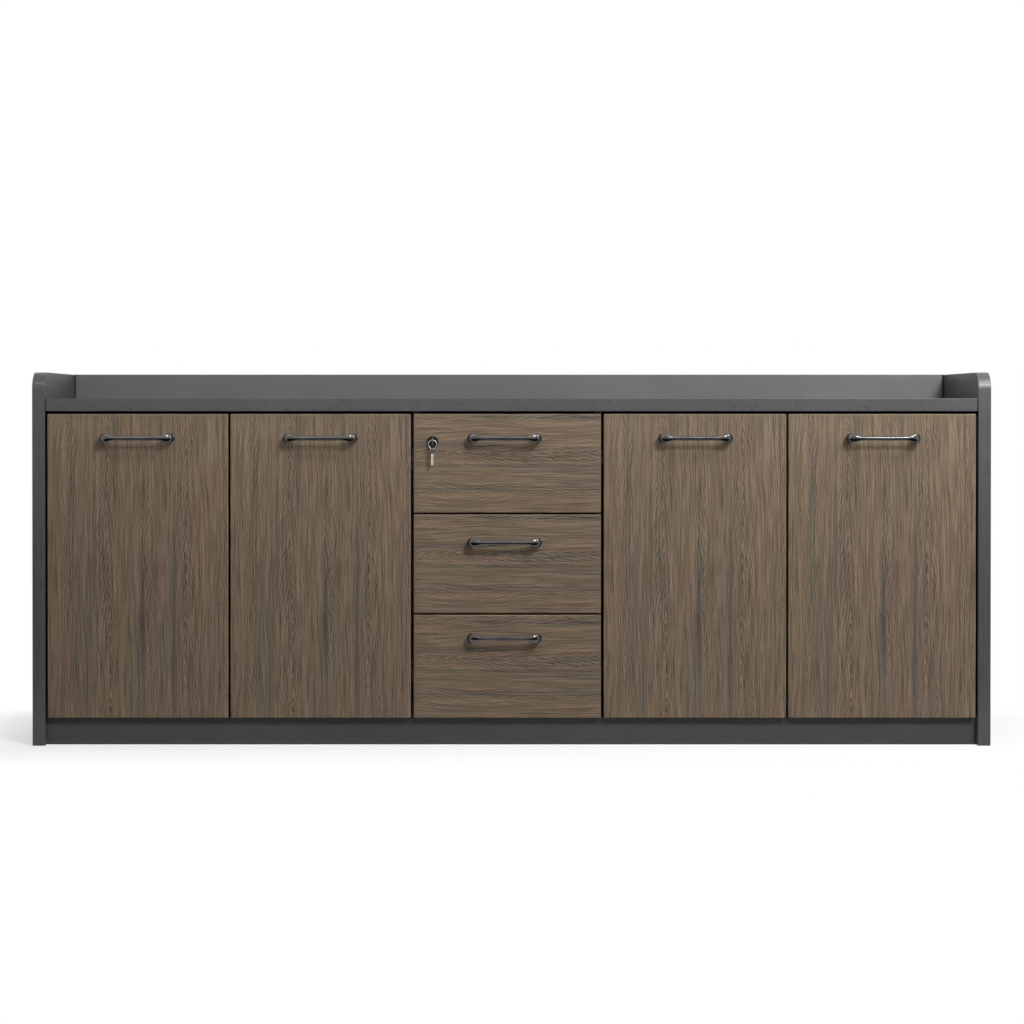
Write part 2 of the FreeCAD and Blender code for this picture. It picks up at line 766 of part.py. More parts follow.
def flat_key(bow_centre, bow_radius, shank, hole_centre):
    """A key cut from one sheet: a round bow, a straight shank and a hole for the ring."""
    left_x = lock_x - key_thickness / 2.0
    circle = Part.makeCircle(bow_radius, Vector(left_x, *bow_centre), Vector(1, 0, 0))
    y_low, y_high, z_low, z_high = shank
    corners = [(y_low, z_low), (y_high, z_low), (y_high, z_high), (y_low, z_high), (y_low, z_low)]
    strip_face = Part.Face(Part.makePolygon([Vector(left_x, y, z) for y, z in corners]))
    outline = Part.Face(Part.Wire([circle])).fuse(strip_face).removeSplitter()
    key = outline.Faces[0].extrude(Vector(key_thickness, 0, 0))
    return key.cut(rod(key_hole_radius, key_thickness, (left_x, *hole_centre), (1, 0, 0)))


def turned_key():
    base_y = collar_face_y - plug_nose - key_bow_gap
    middle = (base_y - key_bow_length / 2.0, lock_z)
    half = key_blade_height / 2.0
    shank = (middle[0], base_y + key_blade_length, lock_z - half, lock_z + half)
    return flat_key(middle, key_bow_radius, shank, key_hole_place())


def ring_centre():
    hole_y, hole_z = key_hole_place()
    return hole_y, hole_z - key_hole_radius + ring_wire_radius + pivot_clearance - ring_radius


def key_ring():
    y, z = ring_centre()
    return Part.makeTorus(ring_radius, ring_wire_radius, Vector(lock_x, y, z), Vector(0, 1, 0))


def spare_key():
    """It hangs on the ring by a small bow, edge on to the front."""
    y, centre_z = ring_centre()
    hole_z = centre_z - ring_radius - key_hole_radius + ring_wire_radius + pivot_clearance
    bow_z = hole_z - spare_bow_drop
    half = spare_blade_height / 2.0
    shank = (y - half, y + half, bow_z - spare_blade_length, bow_z)
    key = flat_key((y, bow_z), spare_bow_radius, shank, (y, hole_z))
    left_x = lock_x - key_thickness / 2.0
    for step, depth in enumerate(key_bit_depths):
        z = bow_z - spare_blade_length + key_bit_pitch * (step + 1)
        notch = rod(depth, key_thickness, (left_x, y + half, z), (1, 0, 0))
        key = key.cut(notch)
    return key


def lock():
    write("lock_bar", [lock_bar()])
    write("lock_bar_guides", bar_guides())
    write("lock_barrel", [lock_barrel()])
    write("lock_plug", [lock_plug()])
    write("lock_cam", [lock_cam()])
    write("key", [turned_key()])
    write("key_ring", [key_ring()])
    write("spare_key", [spare_key()])


os.makedirs("parts", exist_ok=True)
carcass_boards(all_fittings(fitting_clearance) + shelf_pins(shelf_pin_radius + shelf_pin_clearance))
write("cam_fittings", all_fittings(0.0))
gallery_plinth_and_back()
shelves()
doors()
drawers()
lock()
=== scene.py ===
import math

import bpy
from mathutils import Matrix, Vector


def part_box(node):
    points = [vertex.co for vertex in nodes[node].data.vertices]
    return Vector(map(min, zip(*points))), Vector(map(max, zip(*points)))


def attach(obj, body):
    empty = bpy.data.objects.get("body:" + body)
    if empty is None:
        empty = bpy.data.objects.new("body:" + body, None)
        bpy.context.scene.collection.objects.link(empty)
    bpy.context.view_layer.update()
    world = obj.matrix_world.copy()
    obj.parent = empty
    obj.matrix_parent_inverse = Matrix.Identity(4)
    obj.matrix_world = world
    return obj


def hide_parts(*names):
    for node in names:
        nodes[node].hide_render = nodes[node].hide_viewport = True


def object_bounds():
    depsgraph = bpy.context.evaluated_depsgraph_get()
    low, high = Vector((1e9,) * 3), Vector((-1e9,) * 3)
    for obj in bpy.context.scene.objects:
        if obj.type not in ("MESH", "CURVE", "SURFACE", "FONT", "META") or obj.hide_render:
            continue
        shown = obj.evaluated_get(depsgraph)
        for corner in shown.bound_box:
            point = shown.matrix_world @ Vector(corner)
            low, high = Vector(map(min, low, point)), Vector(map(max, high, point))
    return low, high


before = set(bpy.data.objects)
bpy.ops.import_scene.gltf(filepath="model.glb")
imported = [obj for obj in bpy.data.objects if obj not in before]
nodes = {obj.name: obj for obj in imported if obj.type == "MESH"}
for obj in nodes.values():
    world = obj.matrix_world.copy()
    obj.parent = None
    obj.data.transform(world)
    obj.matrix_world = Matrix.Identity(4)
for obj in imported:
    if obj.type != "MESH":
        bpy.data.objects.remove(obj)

# Office credenza, metres. The CAD frame stays as it is. Its boards get eased edges and printed
# laminates, its metal gets plated finishes, and the small fasteners are added on top.

cad_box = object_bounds()

# ---- names and places ----
door_names = ["left_outer_door", "left_inner_door", "right_inner_door", "right_outer_door"]
drawer_names = ["top_drawer", "middle_drawer", "bottom_drawer"]
front_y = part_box("top_board")[0].y     # plane of the top board's front edge
seam_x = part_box("top_board")[1].x      # where boards butt against the side panels
full_turn = 2.0 * math.pi


# ---- node helpers ----
def node(tree, kind, inputs, **settings):
    """Adds a node by its type name. Its inputs are values, or sockets to link from."""
    made = tree.nodes.new(kind)
    for name, value in settings.items():
        setattr(made, name, value)
    for key, value in inputs.items():
        if isinstance(value, bpy.types.NodeSocket):
            tree.links.new(value, made.inputs[key])
        else:
            made.inputs[key].default_value = value
    return made


def put(tree, kind, inputs, **settings):
    """Adds a shader node by the short name of its type."""
    return node(tree, "ShaderNode" + kind, inputs, **settings)


def calc(tree, operation, first, second=0.0):
    """One step of arithmetic."""
    return put(tree, "Math", {0: first, 1: second}, operation=operation).outputs[0]


def vector_calc(tree, operation, first, second=(0.0, 0.0, 0.0)):
    """One step of arithmetic on vectors or colours."""
    return put(tree, "VectorMath", {0: first, 1: second}, operation=operation).outputs[0]


def weighed(tree, terms, base):
    """A base value plus values that each have their weight."""
    total = 0.0
    for value, weight in terms:
        total = calc(tree, "ADD", total, calc(tree, "MULTIPLY", value, weight))
    return calc(tree, "ADD", total, base)


def remap(tree, value, low, high, to_low, to_high):
    """A value's range, stretched to another and clamped there."""
    made = put(tree, "MapRange", {0: value, 1: low, 2: high, 3: to_low, 4: to_high})
    return made.outputs[0]


def noise(tree, vector, sizes, detail=2.0, roughness=0.5):
    """Noise with features of the given sizes, in metres along x, y and z."""
    places = vector_calc(tree, "MULTIPLY", vector, [1.0 / size for size in sizes])
    inputs = {"Vector": places, "Scale": 1.0, "Detail": detail, "Roughness": roughness}
    return put(tree, "TexNoise", inputs).outputs["Fac"]


def layer(tree, vector, sizes, detail, roughness, span, result):
    """Noise whose span of values is stretched to a result's range."""
    return remap(tree, noise(tree, vector, sizes, detail, roughness), *span, *result)


def ramp(tree, value, stops):
    """Colours along a value: pairs of place and colour."""
    made = put(tree, "ValToRGB", {0: value})
    band = made.color_ramp
    while len(band.elements) < len(stops):
        band.elements.new(0.5)
    for element, (place, colour) in zip(band.elements, stops):
        element.position = place
        element.color = (*colour, 1.0)
    return made.outputs[0]


def tinted(tree, colour, gain):
    """A colour, multiplied by a value that varies."""
    made = put(tree, "VectorMath", {0: colour, "Scale": gain}, operation="SCALE")
    return made.outputs[0]


def material(name, build, bump_depth, **constants):
    """A material whose colour, roughness and height come from a build."""
    made = bpy.data.materials.new(name)
    made.use_nodes = True
    tree = made.node_tree
    surface = tree.nodes["Principled BSDF"]
    for key, value in constants.items():
        surface.inputs[key.replace("_", " ")].default_value = value
    place = tree.nodes.new("ShaderNodeTexCoord").outputs["Object"]
    colour, roughness, height = build(tree, place)
    tree.links.new(colour, surface.inputs["Base Color"])
    tree.links.new(roughness, surface.inputs["Roughness"])
    bump = put(tree, "Bump", {"Strength": 1.0, "Distance": bump_depth, "Height": height})
    tree.links.new(bump.outputs["Normal"], surface.inputs["Normal"])
    return made


edging_square = 0.90       # a surface this square to the face axis, or less, is edging
face_square = 0.995        # a surface this square to it, or more, is a broad face


def edge_band(tree, face_axis):
    """1 where a board's narrow edging is, and 0 on the broad faces square to an axis."""
    normal = put(tree, "TexCoord", {}).outputs["Normal"]
    split = put(tree, "SeparateXYZ", {0: normal})
    square = calc(tree, "ABSOLUTE", split.outputs[face_axis])
    return remap(tree, square, edging_square, face_square, 1.0, 0.0)


# ---- wood print ----
figure_period = 0.164      # from one cathedral column to the next
figure_middle = 0.126      # first column's middle, from the front's own edge
column_core = 0.012        # half the width of a column's full figure
column_end = 0.034         # where it has faded out
valley_core = 0.008        # the same two for the valley between columns
valley_end = 0.026
valley_share = 0.75        # strength of a valley's figure beside a column's
plain_share = 0.22         # strength of the rings outside the figure
apex_round = 0.0022        # rounds the tips of the arcs
ring_pitch = 0.030         # nested arcs, along the grain
leg_pitch = 0.0052         # the same rings, across the grain

brown = (0.132, 0.0955, 0.0632)
red_brown = (0.144, 0.0995, 0.0660)
grey_olive = (0.113, 0.0875, 0.0622)
dark_grey = (0.084, 0.0675, 0.0525)
tone_sizes = (0.022, 1.0, 0.8)
tone_stops = [
    (0.32, dark_grey),
    (0.42, grey_olive),
    (0.50, brown),
    (0.59, red_brown),
    (0.70, grey_olive),
]

# Noise layers: sizes of the features along x, y and z, detail, roughness, the span of the noise
# that counts, and the range that it becomes. In the print the grain runs along z, and y is 0.
print_layers = {
    "sway": ((0.0900, 1.0, 0.450), 1.0, 0.50, (0.25, 0.75), (-0.0060, 0.0060)),
    "drift": ((0.0300, 1.0, 0.160), 1.0, 0.50, (0.25, 0.75), (-0.0030, 0.0030)),
    "flutter": ((0.0070, 1.0, 0.014), 1.0, 0.50, (0.25, 0.75), (-0.0012, 0.0012)),
    "stray": ((0.0180, 1.0, 0.060), 2.0, 0.60, (0.00, 1.00), (-0.9, 0.9)),
    "patchy": ((0.0300, 1.0, 0.090), 2.0, 0.50, (0.36, 0.60), (0.4, 1.0)),
    "fibres": ((0.0021, 1.0, 0.100), 2.0, 0.60, (0.34, 0.66), (-1.0, 1.0)),
    "hairs": ((0.0011, 1.0, 0.040), 1.0, 0.50, (0.30, 0.70), (-1.0, 1.0)),
    "cords": ((0.0065, 1.0, 0.240), 2.0, 0.55, (0.34, 0.66), (-1.0, 1.0)),
    "pores": ((0.0012, 1.0, 0.013), 1.0, 0.50, (0.62, 0.76), (0.0, 1.0)),
    "pale": ((0.0013, 1.0, 0.110), 2.0, 0.50, (0.60, 0.70), (0.0, 0.024)),
}
# how much each part lightens the print, or darkens it
print_weights = {
    "rings": 0.33,
    "fibres": 0.41,
    "hairs": 0.17,
    "cords": 0.21,
    "pores": -0.37,
    "core": -0.06,
    # the edging is painted lighter: partly its paler band, partly a painted highlight on the rounded
    # edge
    "edging": 0.30,
}
print_level = 1.09
print_roughness = (0.50, 0.62)     # from dark fibres to light ones
print_edging_gloss = 0.22          # how much less rough the edging is
fibre_height = 0.3                 # fibres beside the pores' depth
wood_bump = 0.00004
wood_specular = 0.25


def print_places(tree, place, across, along, origin, heading):
    """Places across and along the grain, from the print's origin."""
    split = put(tree, "SeparateXYZ", {0: place})
    depth = calc(tree, "SUBTRACT", split.outputs["Y"], front_y)
    u = calc(tree, "SUBTRACT", split.outputs[across], origin[0])
    v = calc(tree, "SUBTRACT", split.outputs[along], origin[1])
    return calc(tree, "ADD", u, depth), calc(tree, "MULTIPLY", v, heading)


def cathedral_core(tree, aside):
    """Strength of the figure, at a distance from the nearest column's middle."""
    half = figure_period / 2.0
    column = remap(tree, aside, column_core, column_end, 1.0, 0.0)
    valley = remap(tree, aside, half - valley_end, half - valley_core, 0.0, valley_share)
    return calc(tree, "MAXIMUM", column, valley)


def growth_rings(tree, aside, flutter, v, stray):
    """Nested arcs round the columns, as a wave from -1 to 1."""
    ridge = calc(tree, "MULTIPLY", aside, aside)
    ridge = calc(tree, "SQRT", calc(tree, "ADD", ridge, apex_round ** 2))
    legs = calc(tree, "DIVIDE", calc(tree, "ADD", ridge, flutter), leg_pitch)
    rise = calc(tree, "DIVIDE", v, ring_pitch)
    phase = calc(tree, "ADD", calc(tree, "ADD", legs, rise), stray)
    return calc(tree, "SINE", calc(tree, "MULTIPLY", phase, full_turn))


def print_parts(tree, u, v):
    """The parts of the printed grain by name, and the flat and bent places that they lie on."""
    flat = put(tree, "CombineXYZ", {0: u, 2: v}).outputs[0]
    sway = layer(tree, flat, *print_layers["sway"])
    drift = layer(tree, flat, *print_layers["drift"])
    u_bent = calc(tree, "ADD", calc(tree, "ADD", u, drift), sway)
    aside = calc(tree, "SUBTRACT", u_bent, figure_middle)
    aside = calc(tree, "PINGPONG", aside, figure_period / 2.0)
    core = cathedral_core(tree, aside)
    flutter = calc(tree, "MULTIPLY", layer(tree, flat, *print_layers["flutter"]), core)
    u_fine = calc(tree, "ADD", u_bent, flutter)
    bent = put(tree, "CombineXYZ", {0: u_fine, 2: v}).outputs[0]

    stray = layer(tree, bent, *print_layers["stray"])
    rings = growth_rings(tree, aside, flutter, v, stray)
    rings = calc(tree, "MULTIPLY", rings, remap(tree, core, 0.0, 1.0, plain_share, 1.0))
    rings = calc(tree, "MULTIPLY", rings, layer(tree, flat, *print_layers["patchy"]))
    parts = {"rings": rings, "core": core, "edging": edge_band(tree, "Y")}
    for name in ("fibres", "hairs", "cords", "pores"):
        parts[name] = layer(tree, bent, *print_layers[name])
    return parts, flat, bent


def printed_wood(across, along, origin, heading):
    """A build for a material: the printed grain runs along one axis from an origin."""

    def build(tree, place):
        u, v = print_places(tree, place, across, along, origin, heading)
        parts, flat, bent = print_parts(tree, u, v)
        terms = [(parts[name], weight) for name, weight in print_weights.items()]
        colour = ramp(tree, noise(tree, flat, tone_sizes), tone_stops)
        colour = tinted(tree, colour, weighed(tree, terms, print_level))
        pale = layer(tree, bent, *print_layers["pale"])
        veil = put(tree, "CombineXYZ", {0: pale, 1: pale, 2: pale}).outputs[0]
        colour = vector_calc(tree, "ADD", colour, veil)

        gloss = calc(tree, "MULTIPLY", parts["edging"], print_edging_gloss)
        roughness = remap(tree, parts["fibres"], -1.0, 1.0, *print_roughness)
        roughness = calc(tree, "SUBTRACT", roughness, gloss)
        height = calc(tree, "MULTIPLY", parts["fibres"], fibre_height)
        return colour, roughness, calc(tree, "SUBTRACT", height, parts["pores"])

    return build


# ---- grey laminates ----
grey = (0.0560, 0.0560, 0.0566)
rail_grey = (0.113, 0.113, 0.115)
box_grey = (0.36, 0.36, 0.36)
cloud_gain = 1.06          # lightest part of the mottle, beside the base tone
laminate_layers = {
    "cloud": ((0.12, 0.12, 0.12), 3.0, 0.5, (0.30, 0.70), (-1.0, 1.0)),
    "speck": ((0.0022, 0.0022, 0.0022), 3.0, 0.7, (0.30, 0.70), (-1.0, 1.0)),
    "rubbed": ((0.05, 0.05, 0.05), 4.0, 0.6, (0.35, 0.70), (0.60, 0.52)),
}
streak_noise = (2.0, 0.6, (0.34, 0.66), (-1.0, 1.0))
streaks_up = (0.0016, 0.0016, 0.20)        # sizes of the edging's streaks
streaks_along = (0.40, 0.0030, 0.0030)
full_streaks = 1.0
faint_streaks = 0.17
pearl_sizes = (0.0009, 0.0009, 0.0009)
laminate_bump = 0.00002
laminate_specular = 0.3

# how much each part lightens the laminate
cloud_weight = 0.03
speck_weight = 0.07
streak_weight = 0.07
# the edging is painted lighter: partly its paler band, partly a painted highlight where the rounded
# edge catches light
edging_tone_and_highlight = 0.22
edging_gloss = 0.27        # how much less rough the edging is than the faces
streak_roughness = 0.05

# A dark line painted at a butted board's ends is painted shade, standing in for the shade in its
# joint with the side panels.
joint_shade_start = 0.0038        # where the painted shade line of the joint starts, from the side panel
joint_shade_full = 0.0026         # where it is darkest
joint_shade_dark = 0.92


def painted_joint_shade(tree, place):
    """How dark the painted shade line is, where a board butts against the side panels: the shade in
    the joint, painted on.
    """
    across = put(tree, "SeparateXYZ", {0: place}).outputs["X"]
    across = calc(tree, "ABSOLUTE", across)
    return remap(tree, across, seam_x - joint_shade_start, seam_x - joint_shade_full, 0.0, joint_shade_dark)


def plain_laminate(base, face_axis, lay, streaking, butted):
    """Uni laminate with a faint mottle and a pearl texture. Its edging is glossier, streaked and
    painted lighter, partly as a painted highlight. A butted board has a thin line of painted shade
    at its ends, where shade falls in its joint."""

    def build(tree, place):
        band = edge_band(tree, face_axis)
        cloud = layer(tree, place, *laminate_layers["cloud"])
        speck = layer(tree, place, *laminate_layers["speck"])
        streak = layer(tree, place, lay, *streak_noise)
        streak = calc(tree, "MULTIPLY", streak, calc(tree, "MULTIPLY", band, streaking))
        terms = [(cloud, cloud_weight), (speck, speck_weight), (streak, streak_weight)]
        # edging painted lighter, partly as a painted highlight
        terms.append((band, edging_tone_and_highlight))
        # painted shade in the joint, at the board's ends
        if butted:
            terms.append((painted_joint_shade(tree, place), -1.0))
        colour = ramp(tree, cloud, [(0.0, base), (1.0, [tone * cloud_gain for tone in base])])
        colour = tinted(tree, colour, weighed(tree, terms, 1.0))
        rough = layer(tree, place, *laminate_layers["rubbed"])
        rough = calc(tree, "SUBTRACT", rough, calc(tree, "MULTIPLY", band, edging_gloss))
        rough = calc(tree, "ADD", rough, calc(tree, "MULTIPLY", streak, streak_roughness))
        pearl = noise(tree, place, pearl_sizes, 1.0)
        return colour, rough, calc(tree, "ADD", pearl, streak)

    return build


def laminate(name, base, face_axis, lay, streaking, butted=False):
    """A laminate whose broad faces are square to an axis."""
    build = plain_laminate(base, face_axis, lay, streaking, butted)
    return material(name, build, laminate_bump, Specular_IOR_Level=laminate_specular)


upright_laminate = laminate("upright_laminate", grey, "X", streaks_up, full_streaks)
level_laminate = laminate("level_laminate", grey, "Z", streaks_along, faint_streaks)
facing_laminate = laminate("facing_laminate", grey, "Y", streaks_along, faint_streaks)
top_laminate = laminate("top_laminate", grey, "Z", streaks_along, faint_streaks, butted=True)
rail_laminate = laminate("rail_laminate", rail_grey, "Y", streaks_along, faint_streaks, butted=True)
box_melamine = laminate("box_melamine", box_grey, "Z", streaks_along, faint_streaks)


# ---- metals and plastic ----
film_sizes = (0.02, 0.02, 0.02)    # patches of a duller film
film_noise = (3.0, 0.6)            # detail and roughness
mark_noise = (3.0, 0.7)
clean_stop = 0.35                  # film noise where the finish is clean, and where it is worn
worn_stop = 0.72
mark_span = (0.3, 0.7)
mark_tones = (0.94, 1.06)          # how marks darken and lighten the metal
gloss_span = (0.35, 0.65)
pebble_sizes = (0.0007, 0.0007, 0.0007)
nylon_black = (0.022, 0.022, 0.022)
nylon_bump = 0.00003
plastic_span = (0.3, 0.7)
plastic_gain = 1.3                 # lightest part of a plastic, beside its base tone
plastic_roughness = (0.45, 0.6)


def plated(base, worn, roughness, lay):
    """Plated or polished metal: fine marks along its lay, and a duller film in patches."""

    def build(tree, place):
        film = noise(tree, place, film_sizes, *film_noise)
        marks = noise(tree, place, lay, *mark_noise)
        colour = ramp(tree, film, [(clean_stop, base), (worn_stop, worn)])
        colour = tinted(tree, colour, remap(tree, marks, *mark_span, *mark_tones))
        mixed = calc(tree, "MULTIPLY", calc(tree, "ADD", film, marks), 0.5)
        return colour, remap(tree, mixed, *gloss_span, *roughness), marks

    return build


def metal(name, base, worn, roughness, lay, bump):
    """A metal finish: its tones, range of roughness, and the sizes and depth of its marks."""
    return material(name, plated(base, worn, roughness, lay), bump, Metallic=1.0)


def moulded(base):
    """Moulded plastic with a finely pebbled surface."""

    def build(tree, place):
        pebbled = noise(tree, place, pebble_sizes)
        cloud = noise(tree, place, film_sizes)
        low, high = plastic_span
        colour = ramp(tree, cloud, [(low, base), (high, [tone * plastic_gain for tone in base])])
        roughness = remap(tree, pebbled, low, high, *plastic_roughness)
        return colour, roughness, pebbled

    return build


key_lay = (0.0009, 0.0009, 0.006)
key_bump = 0.000006
gunmetal = metal(
    "gunmetal",
    base=(0.085, 0.085, 0.085),
    worn=(0.120, 0.120, 0.117),
    roughness=(0.15, 0.22),
    lay=(0.02, 0.0012, 0.0012),
    bump=0.000004,
)
nickel_steel = metal(
    "nickel_steel",
    base=(0.38, 0.375, 0.365),
    worn=(0.30, 0.295, 0.285),
    roughness=(0.22, 0.38),
    lay=(0.0008, 0.004, 0.004),
    bump=0.000006,
)
zinc_steel = metal(
    "zinc_steel",
    base=(0.55, 0.56, 0.58),
    worn=(0.46, 0.47, 0.50),
    roughness=(0.28, 0.46),
    lay=(0.0008, 0.02, 0.0008),
    bump=0.000008,
)
lock_nickel = metal(
    "lock_nickel",
    base=(0.032, 0.032, 0.034),
    worn=(0.052, 0.052, 0.054),
    roughness=(0.14, 0.24),
    lay=(0.0015, 0.0015, 0.0015),
    bump=0.000004,
)
key_nickel = metal(
    "key_nickel",
    base=(0.74, 0.74, 0.75),
    worn=(0.60, 0.60, 0.60),
    roughness=(0.15, 0.32),
    lay=key_lay,
    bump=key_bump,
)
mill_aluminium = metal(
    "mill_aluminium",
    base=(0.72, 0.73, 0.74),
    worn=(0.62, 0.63, 0.64),
    roughness=(0.32, 0.48),
    lay=(0.0008, 0.0008, 0.05),
    bump=0.00001,
)
black_nylon = material("black_nylon", moulded(nylon_black), nylon_bump)


# ---- capped keys ----
key_metal_tone = (0.93, 0.90, 0.84)
key_cap_tone = (0.070, 0.061, 0.050)
key_mark_tones = (0.92, 1.06)
key_roughness = (0.24, 0.42)
cap_edge = 0.0004          # width of the change from metal to cap
spare_cap_height = 0.0118
turned_cap_length = 0.018


def capped_key(axis, foot, heading):
    """A nickel key with a black plastic cap moulded on its bow, beyond the foot along an axis."""

    def build(tree, place):
        reach = put(tree, "SeparateXYZ", {0: place}).outputs[axis]
        reach = calc(tree, "MULTIPLY", calc(tree, "SUBTRACT", reach, foot), heading)
        cap = remap(tree, reach, 0.0, cap_edge, 0.0, 1.0)
        marks = noise(tree, place, key_lay, *mark_noise)
        colour = ramp(tree, cap, [(0.0, key_metal_tone), (1.0, key_cap_tone)])
        colour = tinted(tree, colour, remap(tree, marks, *mark_span, *key_mark_tones))
        shine = calc(tree, "SUBTRACT", 1.0, cap)
        tree.links.new(shine, tree.nodes["Principled BSDF"].inputs["Metallic"])
        return colour, remap(tree, marks, *mark_span, *key_roughness), marks

    return build


spare_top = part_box("spare_key")[1].z
turned_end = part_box("key")[0].y
spare_build = capped_key("Z", spare_top - spare_cap_height, 1.0)
turned_build = capped_key("Y", turned_end + turned_cap_length, -1.0)
spare_finish = material("spare_finish", spare_build, key_bump)
turned_finish = material("turned_finish", turned_build, key_bump)

slot_finish = {
    "carcass_laminate": upright_laminate,
    "drawer_board": box_melamine,
    "handle_metal": gunmetal,
    "hinge_steel": nickel_steel,
    "runner_steel": zinc_steel,
    "lock_metal": lock_nickel,
    "key_metal": key_nickel,
    "lock_bar_aluminium": mill_aluminium,
    "guide_plastic": black_nylon,
}


# ---- finishes of the CAD nodes ----
def dress(piece, finish):
    """Gives a finish to all of a piece's slots."""
    for held in piece.material_slots:
        held.material = finish


def dress_wood(owner, front, across, along, origin, heading):
    """Gives a front its own wood print, measured from the front's own corner."""
    grain = printed_wood(across, along, origin, heading)
    finish = material(owner + "_wood", grain, wood_bump, Specular_IOR_Level=wood_specular)
    dress(nodes[front], finish)


def dress_cad_nodes():
    """By material slot first, then the nodes that differ from their slot."""
    for piece in nodes.values():
        slot = piece.material_slots[0].material.name.split(".")[0]
        if slot in slot_finish:
            dress(piece, slot_finish[slot])
    for name in ("bottom_board", "left_shelf", "right_shelf"):
        dress(nodes[name], level_laminate)
    dress(nodes["top_board"], top_laminate)
    for name in ("front_plinth", "rear_plinth", "back_panel"):
        dress(nodes[name], facing_laminate)
    dress(nodes["gallery_back"], rail_laminate)
    dress(nodes["key"], turned_finish)
    for name in door_names:
        low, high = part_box(name + "_panel")
        dress_wood(name, name + "_panel", "X", "Z", (low.x, high.z), 1.0)
    for name in drawer_names:
        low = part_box(name + "_front")[0]
        dress_wood(name, name + "_front", "Z", "X", (low.z, low.x), -1.0)


# ---- eased edges ----
board_round = 0.0012
rail_round = 0.0016
front_round = 0.0020
round_segments = 3
weld_distance = 0.00001
sharp_angle = 0.7          # radians between two faces, from which their edge is sharp
straight_reach = 0.0005    # how near the sides of its box a board's outline runs
cornered_reach = 0.0120    # the same for a board with a rounded corner
more_than_one = 1.5
boards = [
    "left_side_panel", "right_side_panel", "top_board", "gallery_back", "bottom_board",
    "front_plinth", "rear_plinth", "plinth_cross_members", "left_partition", "right_partition",
    "back_panel", "left_shelf", "right_shelf",
]


def near_outline(tree, board, reach):
    """1 for the edges that lie within the reach of two or more sides of the board's box."""
    box = node(tree, "GeometryNodeBoundBox", {0: board})
    middle = node(tree, "GeometryNodeInputPosition", {}).outputs[0]
    above = vector_calc(tree, "SUBTRACT", middle, box.outputs["Min"])
    below = vector_calc(tree, "SUBTRACT", box.outputs["Max"], middle)
    split = put(tree, "SeparateXYZ", {0: vector_calc(tree, "MINIMUM", above, below)})
    sides = 0.0
    for axis in range(3):
        near = calc(tree, "LESS_THAN", split.outputs[axis], reach)
        sides = calc(tree, "ADD", near, sides)
    return calc(tree, "GREATER_THAN", sides, more_than_one)


def outline_edges(reach):
    """Marks the edges on a board's own outline, and leaves those of its bored holes sharp."""
    tree = bpy.data.node_groups.new("outline_edges", "GeometryNodeTree")
    tree.interface.new_socket("Board", in_out="INPUT", socket_type="NodeSocketGeometry")
    tree.interface.new_socket("Board", in_out="OUTPUT", socket_type="NodeSocketGeometry")
    board = tree.nodes.new("NodeGroupInput").outputs[0]
    angle = node(tree, "GeometryNodeInputMeshEdgeAngle", {}).outputs[0]
    sharp = calc(tree, "GREATER_THAN", angle, sharp_angle)
    weight = calc(tree, "MULTIPLY", near_outline(tree, board, reach), sharp)
    bored = calc(tree, "SUBTRACT", sharp, weight)
    store = node(
        tree,
        "GeometryNodeStoreNamedAttribute",
        {"Geometry": board, "Name": "bevel_weight_edge", "Value": weight},
        domain="EDGE",
        data_type="FLOAT",
    )
    smooth = node(tree, "GeometryNodeSetShadeSmooth", {0: store.outputs[0]}, domain="FACE")
    rims = node(
        tree,
        "GeometryNodeSetShadeSmooth",
        {0: smooth.outputs[0], "Selection": bored, "Shade Smooth": False},
        domain="EDGE",
    )
    end = tree.nodes.new("NodeGroupOutput")
    tree.links.new(rims.outputs[0], end.inputs[0])
    return tree


def eased(piece, width, picker):
    """Rounds a board's edges, inside its own outline."""
    weld = piece.modifiers.new("weld", "WELD")
    weld.merge_threshold = weld_distance
    pick = piece.modifiers.new("pick", "NODES")
    pick.node_group = picker
    bevel = piece.modifiers.new("edge", "BEVEL")
    bevel.width = width
    bevel.segments = round_segments
    bevel.limit_method = "WEIGHT"
    bevel.use_clamp_overlap = False
    normals = piece.modifiers.new("normals", "WEIGHTED_NORMAL")
    normals.keep_sharp = True


def ease_cad_nodes():
    """Rounds the edges of all boards, doors and drawer fronts."""
    straight = outline_edges(straight_reach)
    cornered = outline_edges(cornered_reach)
    for name in boards:
        round_corner = name.endswith("side_panel")
        width = rail_round if name == "gallery_back" else board_round
        eased(nodes[name], width, cornered if round_corner else straight)
    for name in door_names:
        eased(nodes[name + "_panel"], front_round, straight)
    for name in drawer_names:
        eased(nodes[name + "_front"], front_round, straight)


# ---- small fasteners ----
screw_head_radius = 0.0038
screw_head_height = 0.0016
screw_turns = 32
# reach and height up the head's side, as shares of its radius and its height
head_profile = [(1.0, 0.0), (1.0, 0.35), (0.93, 0.68), (0.80, 0.90), (0.70, 0.98)]
cross_arm = 0.62           # cross recess, as shares of the head's radius
cross_half_width = 0.16
cross_floor = 0.82         # its floor beside its mouth
cross_floor_height = 0.25
least_share = 0.0001       # keeps a division away from zero


def new_piece(name, mesh_parts, finish, body):
    """One object from a list of (vertices, faces), riding on a body."""
    vertices = []
    faces = []
    for part_vertices, part_faces in mesh_parts:
        base = len(vertices)
        vertices += part_vertices
        faces += [[base + index for index in face] for face in part_faces]
    mesh = bpy.data.meshes.new(name)
    mesh.from_pydata(vertices, [], faces)
    mesh.update()
    mesh.materials.append(finish)
    piece = bpy.data.objects.new(name, mesh)
    bpy.context.scene.collection.objects.link(piece)
    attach(piece, body)
    return piece


